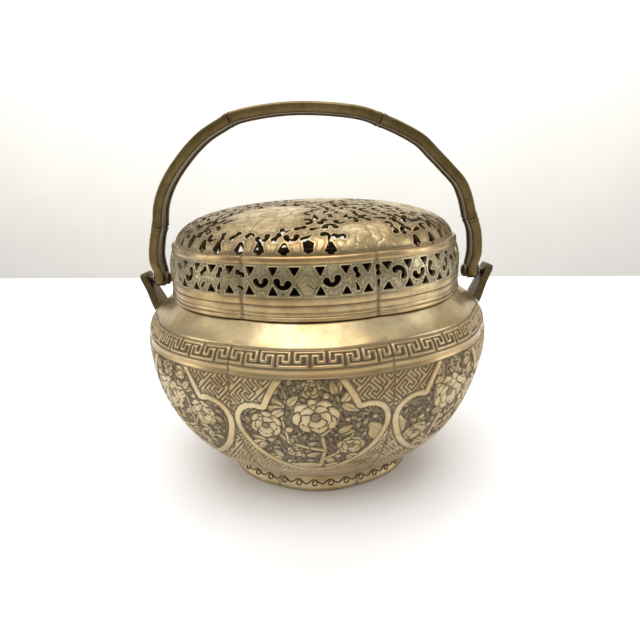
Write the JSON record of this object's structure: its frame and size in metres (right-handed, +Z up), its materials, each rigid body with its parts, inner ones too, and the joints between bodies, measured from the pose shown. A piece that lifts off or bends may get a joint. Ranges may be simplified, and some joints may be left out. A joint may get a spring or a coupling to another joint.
{
  "type": "hand warmer",
  "caption": "Lobed round brass hand warmer: footed bowl, fire pan inside, pierced domed lid that lifts off, and a swinging bamboo-form bail handle.",
  "frame": {"origin": "on the vertical axis of the bowl, at the underside of the foot ring", "axes": "+Z up; +X along the handle's pin axis, towards one lug; -Y towards the front lobe"},
  "size_m": [0.1704, 0.1624, 0.1685],
  "materials": {
    "body_brass": "worn satin with dark oxide in the engraving",
    "lid_brass": "worn satin, pierced",
    "dark_brass": "dark brown patina, rubbed",
    "washer_metal": "dull grey",
    "pan_copper": "sooty dull copper"
  },
  "bodies": {
    "bowl": {"bowl_wall": "body_brass", "foot_ring": "body_brass", "neck_collar": "body_brass", "lug_right": "dark_brass", "lug_left": "dark_brass", "pivot_pin_right": "dark_brass", "pivot_pin_left": "dark_brass", "spacer_washer_right": "washer_metal", "spacer_washer_left": "washer_metal"},
    "pan": {"fire_pan": "pan_copper"},
    "lid": {"lid_rim_band": "lid_brass", "lid_side_band": "lid_brass", "lid_bead": "lid_brass", "lid_dome": "lid_brass"},
    "bail": {"bail_handle": "dark_brass"}
  },
  "joints": [
    {"name": "bail_swing", "type": "hinge", "parent": "bowl", "child": "bail", "pos_m": [0, 0, 0.0911], "axis": [1, 0, 0], "range_deg": [-91, 91]},
    {"name": "lid_lift", "type": "slide", "parent": "bowl", "child": "lid", "axis": [0, 0, 1], "range_m": [0, 0.018]},
    {"name": "fire_pan_lift", "type": "slide", "parent": "bowl", "child": "pan", "axis": [0, 0, 1], "range_m": [0, 0.007]}
  ]
}
